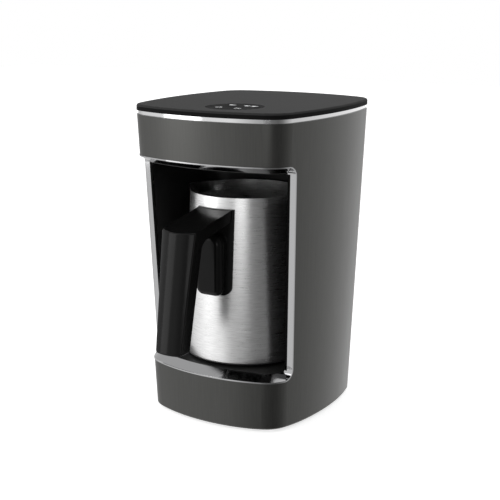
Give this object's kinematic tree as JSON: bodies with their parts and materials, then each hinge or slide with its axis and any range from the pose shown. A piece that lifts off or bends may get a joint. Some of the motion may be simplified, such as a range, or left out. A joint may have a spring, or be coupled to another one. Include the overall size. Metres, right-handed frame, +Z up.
{
  "type": "electric turkish coffee maker",
  "caption": "Tower-shaped electric maker for Turkish coffee: a tapered dark housing with a chrome-framed heated niche, a touch window on top and a steel pot with pouring lips and a black handle",
  "frame": {"origin": "middle of the whole footprint, grip included, at the level of the worktop under the rubber feet", "axes": "+Z is up, -Y is the front with the niche and the pot's handle, +X is the right-hand side seen from the front"},
  "size_m": [0.154, 0.2104, 0.252],
  "materials": {
    "satin_anthracite": "satin",
    "black_matt_plastic": "matt",
    "black_rubber": "matt",
    "zinc_steel": "bright zinc",
    "cavity_plastic": "matt black",
    "bright_chrome": "polished",
    "hotplate_coating": "matt heat-proof coating",
    "element_aluminium": "sheathed",
    "sensor_brass": "plain",
    "spring_steel": "drawn wire",
    "fuse_ceramic": "ceramic",
    "shield_steel": "plain sheet",
    "plate_plastic": "fine matt texture",
    "smoked_glass": "polished, near black",
    "clear_plastic": "translucent",
    "pad_foam": "conductive foam",
    "board_laminate": "green laminate",
    "relay_plastic": "moulded",
    "terminal_plastic": "moulded",
    "lead_silicone": "silicone sleeve",
    "ribbon_plastic": "flat cable",
    "pot_steel": "brushed round",
    "disc_aluminium": "satin",
    "handle_plastic": "glossy black"
  },
  "bodies": {
    "machine": {"outer_housing": "satin_anthracite", "rear_panel": "satin_anthracite", "base_cover": "black_matt_plastic", "rubber_feet": "black_rubber", "base_screws": "zinc_steel", "cavity_liner": "cavity_plastic", "floor_tray": "cavity_plastic", "chrome_frame": "bright_chrome", "hotplate": "hotplate_coating", "heating_element": "element_aluminium", "temperature_sensor": "sensor_brass", "sensor_spring": "spring_steel", "thermal_fuse": "fuse_ceramic", "heat_shield": "shield_steel", "chrome_band": "bright_chrome", "control_plate": "plate_plastic", "touch_window": "smoked_glass", "key_light_guides": "clear_plastic", "touch_pads": "pad_foam", "control_board": "board_laminate", "buzzer": "black_matt_plastic", "power_board": "board_laminate", "board_screws": "zinc_steel", "relay": "relay_plastic", "terminal_block": "terminal_plastic", "heater_leads": "lead_silicone", "ribbon_sockets": "terminal_plastic", "ribbon_cable": "ribbon_plastic", "cord_gland": "black_rubber", "sensor_window": "smoked_glass", "foam_sensor": "black_matt_plastic"},
    "pot": {"pot_body": "pot_steel", "pot_base": "disc_aluminium", "handle_plate": "handle_plastic", "handle": "handle_plastic", "handle_screws": "zinc_steel"}
  },
  "joints": [
    {"name": "pot_slide", "type": "slide", "parent": "machine", "child": "pot", "axis": [0, -1, 0], "range_m": [0, 0.14]}
  ]
}
